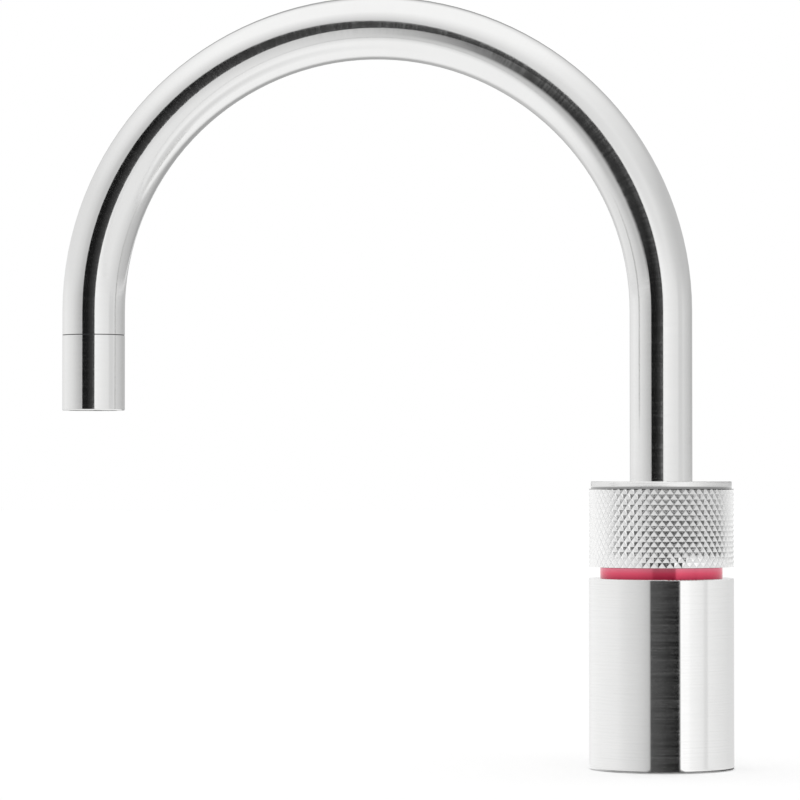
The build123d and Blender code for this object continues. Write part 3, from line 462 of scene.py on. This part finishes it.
def board_look():
    """Green solder mask over copper tracks, laid in rings with breaks."""
    material = new_material("board_green", Roughness=0.35, Coat_Weight=0.3)
    tree = material.node_tree
    radius, _, outward = lathe_place(tree)
    rings = maths(tree, "SINE", maths(tree, "MULTIPLY", radius, TRACK_WAVES))
    breaks = stretched_noise(tree, outward, TRACK_BREAKS, detail=1.0)
    tracks = maths(tree, "MULTIPLY", fade(tree, rings, *TRACK_EDGE), breaks)
    share = fade(tree, tracks, *BREAK_EDGE)
    colour = mixed_colour(tree, share, BOARD_MASK, BOARD_TRACK)
    tree.links.new(colour, shader_of(tree).inputs["Base Color"])
    add_bump(tree, share, strength=0.4, distance=TRACK_H)
    return material


UPWARD_SPAN = (0.8, 0.9)
SPECKLE_SCALE = 4000.0
SPECKLE_H = 0.00002
LAMP_BODY = (0.84, 0.84, 0.82)
PHOSPHOR = (0.80, 0.62, 0.16)


def lamp_look():
    """White lamp bodies with a warm phosphor window on top."""
    material = new_material("lamp_white", Roughness=0.3)
    tree = material.node_tree
    facing = add_node(tree, "ShaderNodeNewGeometry").outputs["Normal"]
    top = fade(tree, split(tree, facing)[2], *UPWARD_SPAN)
    speckle = noise(tree, object_place(tree), SPECKLE_SCALE)
    window = maths(tree, "MULTIPLY", top, speckle)
    colour = mixed_colour(tree, window, LAMP_BODY, PHOSPHOR)
    tree.links.new(colour, shader_of(tree).inputs["Base Color"])
    add_bump(tree, speckle, strength=0.2, distance=SPECKLE_H)
    return material


BAND_H = 0.004
BAND_COLOURS = [
    (0.0, (0.36, 0.02, 0.06)),
    (0.45, (0.58, 0.075, 0.13)),
    (1.0, (0.60, 0.16, 0.23)),
]
BAND_GLOWS = [
    (0.0, (0.45, 0.02, 0.06)),
    (0.5, (0.80, 0.04, 0.11)),
    (1.0, (0.80, 0.25, 0.32)),
]
LAMP_BLUR = (2.5, 2.5, 0)
LAMPS_DIM = 0.7
LAMPS_BRIGHT = 1.3
BAND_SKIN_SCALE = 1500.0
BAND_SKIN_H = 0.00005


def light_look():
    """The red light band: tinted plastic, lit from behind, paler where it nears the ring."""
    material = new_material("red_light", Metallic=0.5, Roughness=0.12, Emission_Strength=0.28)
    tree = material.node_tree
    shader = shader_of(tree)
    _, height, outward = lathe_place(tree)
    rise = maths(tree, "MULTIPLY_ADD", height, 1 / BAND_H, 1 - BAND_TOP / BAND_H)
    tree.links.new(ramp(tree, rise, BAND_COLOURS), shader.inputs["Base Color"])
    lamps = stretched_noise(tree, outward, LAMP_BLUR, detail=1.0)
    bright = mixed_colour(tree, lamps, LAMPS_DIM, LAMPS_BRIGHT)
    glow = ramp(tree, rise, BAND_GLOWS)
    lit = mixed(tree, "RGBA", 1.0, glow, bright, blend_type="MULTIPLY")
    tree.links.new(lit, shader.inputs["Emission Color"])
    skin = noise(tree, object_place(tree), BAND_SKIN_SCALE)
    add_bump(tree, skin, strength=0.08, distance=BAND_SKIN_H)
    return material


knurled_steel = knurl_look()
board_green = board_look()
lamp_white = lamp_look()
red_light = light_look()

LOOKS = {
    brushed_steel: ["body_shell"],
    spout_steel: ["spout_tube", "outlet_sleeve"],
    knurled_steel: ["knurled_ring"],
    red_light: ["light_ring"],
    turned_brass: ["core_body", "neck_tube", "lock_nut", "push_ring", "spout_stem"],
    outlet_brass: ["outlet_connector"],
    zinc_steel: ["threaded_shank", "clamp_washer"],
    stainless: ["neck_screws", "knob_screws", "spout_retaining_screw", "guide_pins"],
    spring_wire: ["return_spring", "carrier_circlip"],
    nickel: ["sensor_magnets"],
    mesh_steel: ["outlet_mesh"],
    black_rubber: [
        "deck_seal",
        "clamp_seal",
        "shell_grip_rings",
        "cable_grommet",
        "stem_o_rings",
        "outlet_o_ring",
        "outlet_washer",
        "knob_wiper",
    ],
    acetal: ["lower_spout_bearing", "upper_spout_bearing", "thrust_washer"],
    hose_white: ["water_tube"],
    grey_plastic: ["tube_spacers", "knob_carrier", "flow_straightener"],
    board_green: ["led_board"],
    lamp_white: ["led_chips", "board_connector"],
    chip_black: ["hall_sensors"],
}
for material, names in LOOKS.items():
    for name in names:
        NODES[name].data.materials.clear()
        NODES[name].data.materials.append(material)


# Pieces that stand for CAD nodes in more detail, and the black seal in the outlet's joint,
# which also paints the joint's shadow line

ROUND_SIDES = 64


def ring_mesh(name, rings, material, body, node=None, closed=True, smooth=False):
    """A piece skinned over rings of points, its ends joined up or capped."""
    count = len(rings[0])
    points = [point for ring in rings for point in ring]
    spans = len(rings) if closed else len(rings) - 1
    faces = []
    for i in range(spans):
        here = i * count
        there = (i + 1) % len(rings) * count
        for k in range(count):
            after = (k + 1) % count
            faces.append((here + k, here + after, there + after, there + k))
    if not closed:
        faces.append(tuple(reversed(range(count))))
        faces.append(tuple(range(len(points) - count, len(points))))
    mesh = bpy.data.meshes.new(name)
    mesh.from_pydata(points, [], faces)
    mesh.validate()
    for polygon in mesh.polygons:
        polygon.use_smooth = smooth
    piece = bpy.data.objects.new(name, mesh)
    bpy.context.scene.collection.objects.link(piece)
    mesh.materials.append(material)
    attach(piece, body)
    if node:
        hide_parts(node)
    return piece


def level_ring(radius, height, centre_x=0.0):
    """Points round a vertical axis."""
    turns = [tau * k / ROUND_SIDES for k in range(ROUND_SIDES)]
    return [(centre_x + radius * cos(turn), radius * sin(turn), height) for turn in turns]


# Return spring: four turns of round wire, its end turns laid flat

WIRE_R = 0.0005
COIL_R = SPRING_HIGH.x - WIRE_R
COIL_TURNS = 4
COIL_STEPS = 48
WIRE_SIDES = 10
FLAT_TURNS = 0.3


def spring_rings():
    """Rings of points round the spring's wire, from its foot to its top."""
    rise = SPRING_HIGH.z - SPRING_LOW.z - 2 * WIRE_R
    around = [tau * k / WIRE_SIDES for k in range(WIRE_SIDES)]
    rings = []
    for step in range(COIL_TURNS * COIL_STEPS + 1):
        turned = step / COIL_STEPS
        share = (turned - FLAT_TURNS) / (COIL_TURNS - 2 * FLAT_TURNS)
        lift = SPRING_LOW.z + WIRE_R + rise * min(max(share, 0), 1)
        outward = Vector((cos(tau * turned), sin(tau * turned), 0))
        middle = COIL_R * outward + Vector((0, 0, lift))
        ring = []
        for turn in around:
            ring.append(middle + WIRE_R * (cos(turn) * outward + Vector((0, 0, sin(turn)))))
        rings.append(ring)
    return rings


spring = ring_mesh(
    "spring_coil",
    spring_rings(),
    spring_wire,
    "body",
    "return_spring",
    closed=False,
    smooth=True,
)
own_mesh(spring)


# Fixing shank with its thread cut up to just under the base

SHANK_R = SHANK_HIGH.y
SHANK_BORE_R = 0.0125
END_CHAMFER = 0.001
THREAD_TOP = -0.002
THREAD_PITCH = 0.0015
THREAD_DEPTH = 0.00092
THREAD_FLANK = 1.25
THREAD_CREST = 0.12
ROWS_TO_A_PITCH = 6


def thread_radius(turn, height):
    """The shank's radius at a place on its helical thread."""
    phase = (height / THREAD_PITCH - turn) % 1
    cut = min(max(abs(2 * phase - 1) * THREAD_FLANK - THREAD_CREST, 0), 1) * THREAD_DEPTH
    run_out = min(max((THREAD_TOP - height) / THREAD_PITCH, 0), 1)
    chamfer = SHANK_R - END_CHAMFER + height - SHANK_LOW.z
    return min(SHANK_R - cut * run_out, chamfer)


def shank_rings():
    """Rings of points up the thread, over the shank's top and down its bore."""
    thread_h = THREAD_TOP - SHANK_LOW.z
    rows = int(thread_h / THREAD_PITCH * ROWS_TO_A_PITCH)
    rings = []
    for row in range(rows + 1):
        height = SHANK_LOW.z + thread_h * row / rows
        ring = []
        for k in range(ROUND_SIDES):
            turn = k / ROUND_SIDES
            radius = thread_radius(turn, height)
            ring.append((radius * cos(tau * turn), radius * sin(tau * turn), height))
        rings.append(ring)
    rings.append(level_ring(SHANK_R, SHANK_HIGH.z))
    rings.append(level_ring(SHANK_BORE_R, SHANK_HIGH.z))
    rings.append(level_ring(SHANK_BORE_R, SHANK_LOW.z))
    return rings


ring_mesh("shank_thread", shank_rings(), zinc_steel, "body", "threaded_shank")


# Thin black seal in the joint above the outlet sleeve, which also paints the joint's shadow
# line

SHADOW_SEAL_H = 0.0003
SHADOW_SEAL_OUT_R = TUBE_R - 0.00012
SHADOW_SEAL_IN_R = TUBE_R - 0.0009

shadow_seal_rings = [
    level_ring(SHADOW_SEAL_IN_R, SLEEVE_TOP, OUTLET_X),
    level_ring(SHADOW_SEAL_OUT_R, SLEEVE_TOP, OUTLET_X),
    level_ring(SHADOW_SEAL_OUT_R, SLEEVE_TOP + SHADOW_SEAL_H, OUTLET_X),
    level_ring(SHADOW_SEAL_IN_R, SLEEVE_TOP + SHADOW_SEAL_H, OUTLET_X),
]
ring_mesh("sleeve_joint_shadow_seal", shadow_seal_rings, black_rubber, "spout")


# Studio: a floor, a world, and cards that only gloss sees, which the metal mirrors.
# The near card is a low wall round the body. The tent is a cone round the knurled ring:
# the spout looks down on its top, the knurl looks up at its underside, and its level
# rim closes the gap to the ring. The far card is the ground, and the dark card stands
# behind the camera.

FLOOR_HALF = 12.0
FLOOR_GREY = 0.9
FLOOR_GLOW = 0.26
CARD_LIFT = 0.0004
CARD_SIDES = 120
FAR_HALF = 3.0
NEAR_R = 0.034
NEAR_TOP = 0.0713
TENT_RIM_R = 0.0262
TENT_IN_R = 0.036
TENT_OUT_R = 0.33
TENT_TOP = 0.0995
DARK_R = 1.40
DARK_CENTRE = Vector((-1.16, -3.0, 0.47))
VIEW_ANGLE = -3.84

# Brightness round the compass, in degrees from the front towards +X: the world near the
# horizon and above it, what the body mirrors in front and behind, the ground close to
# the tap, the tent close to the tap, and the ground and tent farther out
LOW_STOPS = [
    (-180, 0.20), (-174, 0.22), (-169, 0.80), (-142, 0.85), (-120, 0.92), (-100, 0.86),
    (-80, 0.78), (-65, 0.66), (-50, 0.52), (-41, 0.44), (0, 0.90), (12, 1.02), (24, 0.95),
    (45, 0.86), (60, 0.82), (66, 0.69), (78, 0.68), (85, 0.75), (100, 0.66), (137, 0.50),
    (150, 0.50), (168, 0.58), (173, 0.22), (180, 0.20),
]
MIDDLE_STOPS = [
    (-180, 0.28), (-170, 0.30), (-160, 0.76), (-120, 0.80), (-90, 0.80), (-75, 0.76),
    (-60, 0.70), (-48, 0.60), (-36, 0.56), (-8, 0.60), (12, 0.78), (40, 0.82), (60, 0.70),
    (80, 0.62), (100, 0.57), (150, 0.56), (160, 0.60), (170, 0.30), (180, 0.28),
]
NEAR_STOPS = [
    (-160, 0.92), (-147, 0.97), (-108, 0.92), (-82, 0.88), (-70, 0.81), (-59, 0.76),
    (-49, 0.72), (-38, 0.65), (-27.2, 0.53), (-25.6, 0.075), (-9, 0.05), (0, 0.03),
    (17, 0.008), (20, 0.008), (21.5, 1.10), (34, 1.08), (39, 1.0), (60, 0.88), (65, 0.77),
    (69, 0.77), (72, 0.90), (91, 0.85), (125, 0.77), (160, 0.74),
]
LEFT_BACK_STOPS = [(-180, 0.08), (-171, 0.08), (-168, 0.92), (-140, 0.85)]
RIGHT_BACK_STOPS = [(140, 0.80), (168, 0.88), (171, 0.08)]
FOOT_STOPS = [
    (-180, 1.0), (-80, 1.0), (-64, 0.65), (-46, 0.12), (-20, 0.06), (30, 0.05), (50, 0.05),
    (80, 0.06), (92, 0.50), (104, 0.95), (180, 1.0),
]
TENT_STOPS = [
    (-180, 0.97), (-98, 0.97), (-62, 0.80), (-38, 0.68), (60, 0.62), (88, 0.78),
    (106, 0.97), (180, 0.97),
]
FAR_STOPS = [
    (-180, 0.42), (-160, 0.62), (-140, 0.85), (-90, 0.76), (-70, 0.66), (-55, 0.54),
    (-30, 0.50), (0, 0.66), (15, 0.85), (45, 0.85), (75, 0.72), (100, 0.58), (135, 0.50),
    (152, 0.38), (180, 0.42),
]

# The tent's dark stripe, which the riser's foot mirrors, and where it ends going outward
STRIPE_STOPS = [(-10, 0.0), (-8, 1.0), (21, 1.0), (23, 0.0)]
STRIPE_END = (0.0405, 0.042)

# Where the shades of the tent and ground change, out from the tap or from under the bend
TENT_STOPS_END = (0.10, 0.14)
UNDER_BEND_END = (0.15, 0.34)
FOOT_STOPS_END = (0.33, 0.34)

# The dark wedge ahead of the bend: how far ahead, how far to its left, and their ratio
WEDGE_AHEAD = (0.36, 0.54)
WEDGE_ASIDE = (0.0, 0.12)
WEDGE_SLANT = (0.72, 1.0)
LEAST_AHEAD = 0.01
DARK_GREY = 0.03
LIGHT_GREY = 0.95

# The dark card from its -X edge to its +X edge, and where the world's bands meet
DARK_STOPS = [(0.0, 0.006), (0.5, 0.010), (1.0, 0.060)]
LOW_TO_MIDDLE = (0.06, 0.18)
MIDDLE_TO_WHITE = (0.42, 0.86)


def square(half, height):
    """The corners of a level square."""
    return [(x * half, y * half, height) for x, y in ((-1, -1), (1, -1), (1, 1), (-1, 1))]


def card_ring(radius, height):
    """Corners round the tap's axis."""
    turns = [tau * i / CARD_SIDES for i in range(CARD_SIDES)]
    return [(radius * sin(turn), radius * cos(turn), height) for turn in turns]


def card_walls(first):
    """The faces between the card ring of this number and the next."""
    walls = []
    for i in range(CARD_SIDES):
        here = first * CARD_SIDES + i
        after = first * CARD_SIDES + (i + 1) % CARD_SIDES
        walls.append((here, after, after + CARD_SIDES, here + CARD_SIDES))
    return walls


def stage_plane(name, corners, faces, material, gloss_only=True):
    """A card, wall or floor of the studio."""
    mesh = bpy.data.meshes.new(name)
    mesh.from_pydata(corners, [], faces)
    card = bpy.data.objects.new(name, mesh)
    bpy.context.scene.collection.objects.link(card)
    mesh.materials.append(material)
    if gloss_only:
        card.visible_camera = False
        card.visible_diffuse = False
        card.visible_shadow = False
        card.visible_transmission = False


def compass_ramp(tree, place, stops):
    """Brightness by the compass direction of a place or direction."""
    x, y, _ = split(tree, place)
    angle = maths(tree, "ARCTAN2", x, maths(tree, "MULTIPLY", y, -1.0))
    share = maths(tree, "MULTIPLY_ADD", angle, 1 / tau, 0.5)
    return ramp(tree, share, [(compass / 360 + 0.5, value) for compass, value in stops])


def empty_material(name):
    """A material with no nodes."""
    material = bpy.data.materials.new(name)
    material.use_nodes = True
    material.node_tree.nodes.clear()
    return material


def floor_look():
    """White floor that takes the tap's shadow and glows a little for the camera alone."""
    material = empty_material("floor_white")
    tree = material.node_tree
    diffuse = add_node(tree, "ShaderNodeBsdfDiffuse", {"Color": rgba(FLOOR_GREY)})
    seen = add_node(tree, "ShaderNodeLightPath").outputs["Is Camera Ray"]
    strength = maths(tree, "MULTIPLY", seen, FLOOR_GLOW)
    glow = add_node(tree, "ShaderNodeEmission", {"Color": rgba(1), "Strength": strength})
    both = add_node(tree, "ShaderNodeAddShader", {0: diffuse.outputs[0], 1: glow.outputs[0]})
    add_node(tree, "ShaderNodeOutputMaterial", {0: both.outputs[0]})
    return material


def glowing(name, colour):
    """A card's material: colour is a function that makes the emission's colour in the tree."""
    material = empty_material(name)
    tree = material.node_tree
    glow = add_node(tree, "ShaderNodeEmission", {"Color": colour(tree)})
    add_node(tree, "ShaderNodeOutputMaterial", {0: glow.outputs[0]})
    return material


def wall_angle(compass):
    """Where on the near wall the body's mirror image of a compass direction falls."""
    ahead = radians(compass)
    facing = radians(compass - VIEW_ANGLE) / 2
    start = BODY_R * Vector((sin(facing), -cos(facing)))
    ray = Vector((sin(ahead), -cos(ahead)))
    along = start.dot(ray)
    reach = (along * along + NEAR_R * NEAR_R - BODY_R * BODY_R) ** 0.5 - along
    hit = start + reach * ray
    return degrees(atan2(hit.x, -hit.y))


def near_colour(tree):
    """The near wall, painted so that the body shows the near stops to the camera."""
    front = [(wall_angle(compass), value) for compass, value in NEAR_STOPS]
    stops = LEFT_BACK_STOPS + front + RIGHT_BACK_STOPS
    return compass_ramp(tree, object_place(tree), stops)


def tent_colour(tree):
    """The tent, and the ground outside it: light close by, dark ahead to the bend's left."""
    place = vector_maths(tree, "SUBTRACT", object_place(tree), (BEND_CENTRE.x, 0, 0))
    farther = fade(tree, length(tree, place), *UNDER_BEND_END)
    light = mixed_colour(tree, farther, LIGHT_GREY, compass_ramp(tree, place, FAR_STOPS))
    x, y, _ = split(tree, place)
    ahead = maths(tree, "MULTIPLY", y, -1.0)
    aside = maths(tree, "MULTIPLY", x, -1.0)
    slant = maths(tree, "DIVIDE", aside, maths(tree, "MAXIMUM", ahead, LEAST_AHEAD))
    wedge = fade(tree, ahead, *WEDGE_AHEAD)
    wedge = maths(tree, "MULTIPLY", wedge, fade(tree, aside, *WEDGE_ASIDE))
    wedge = maths(tree, "MULTIPLY", wedge, fade(tree, slant, *WEDGE_SLANT, 1.0, 0.0))
    shade = mixed_colour(tree, wedge, light, DARK_GREY)

    centre = object_place(tree)
    reach = length(tree, centre)
    close = fade(tree, reach, *TENT_STOPS_END, 1.0, 0.0)
    plain = mixed_colour(tree, close, shade, compass_ramp(tree, centre, TENT_STOPS))
    innermost = fade(tree, reach, *STRIPE_END, 1.0, 0.0)
    stripe = maths(tree, "MULTIPLY", compass_ramp(tree, centre, STRIPE_STOPS), innermost)
    return mixed_colour(tree, stripe, plain, DARK_GREY)


def far_colour(tree):
    """The ground: dark in front close to the tap, where the tent hides it from the arch."""
    centre = object_place(tree)
    farther = fade(tree, length(tree, centre), *FOOT_STOPS_END)
    foot = compass_ramp(tree, centre, FOOT_STOPS)
    return mixed_colour(tree, farther, foot, tent_colour(tree))


def dark_colour(tree):
    """The unlit end of the studio, a little lighter towards +X."""
    across = split(tree, object_place(tree))[0]
    slope = 0.5 / DARK_R
    share = maths(tree, "MULTIPLY_ADD", across, slope, 0.5 - DARK_CENTRE.x * slope)
    return ramp(tree, share, DARK_STOPS)


def studio_colour(tree):
    """The world: the studio's walls, white overhead and white behind the tap."""
    direction = add_node(tree, "ShaderNodeTexCoord").outputs["Generated"]
    height = split(tree, direction)[2]
    low = compass_ramp(tree, direction, LOW_STOPS)
    middle = compass_ramp(tree, direction, MIDDLE_STOPS)
    walls = mixed_colour(tree, fade(tree, height, *LOW_TO_MIDDLE), low, middle)
    all_round = mixed_colour(tree, fade(tree, height, *MIDDLE_TO_WHITE), walls, 1)
    seen = add_node(tree, "ShaderNodeLightPath").outputs["Is Camera Ray"]
    return mixed_colour(tree, seen, all_round, 1)


SQUARE_FACE = (0, 1, 2, 3)
DISC_FACE = tuple(range(CARD_SIDES))

stage_plane("floor", square(FLOOR_HALF, 0), [SQUARE_FACE], floor_look(), gloss_only=False)

near_corners = card_ring(NEAR_R, 2 * CARD_LIFT) + card_ring(NEAR_R, NEAR_TOP)
near_faces = [DISC_FACE] + card_walls(0)
stage_plane("near_card", near_corners, near_faces, glowing("near_card", near_colour))

far_corners = square(FAR_HALF, CARD_LIFT)
stage_plane("far_card", far_corners, [SQUARE_FACE], glowing("far_card", far_colour))

tent_corners = card_ring(TENT_RIM_R, TENT_TOP) + card_ring(TENT_IN_R, TENT_TOP)
tent_corners += card_ring(TENT_OUT_R, 2 * CARD_LIFT)
tent_faces = card_walls(0) + card_walls(1)
stage_plane("tent_card", tent_corners, tent_faces, glowing("tent_card", tent_colour))

dark_corners = [DARK_CENTRE + Vector((x, 0, y)) for x, y, _ in card_ring(DARK_R, 0)]
stage_plane("dark_card", dark_corners, [DISC_FACE], glowing("dark_card", dark_colour))

world = bpy.data.worlds.new("studio")
bpy.context.scene.world = world
world.use_nodes = True
background = world.node_tree.nodes["Background"]
world.node_tree.links.new(studio_colour(world.node_tree), background.inputs["Color"])


# Camera

CAMERA_AT = Vector((-0.092, -1.37, 0.101))
CAMERA_AIM = Vector((-0.092, 0, 0.1297))
LENS = 175.0
SENSOR_W = 36.0
CLIP_START = 0.01

camera_data = bpy.data.cameras.new("camera")
camera_data.lens = LENS
camera_data.sensor_width = SENSOR_W
camera_data.clip_start = CLIP_START
camera = bpy.data.objects.new("camera", camera_data)
bpy.context.scene.collection.objects.link(camera)
camera.location = CAMERA_AT
camera.rotation_mode = "QUATERNION"
camera.rotation_quaternion = (CAMERA_AIM - CAMERA_AT).to_track_quat("-Z", "Y")
bpy.context.scene.camera = camera
bpy.context.scene.view_settings.view_transform = "Standard"
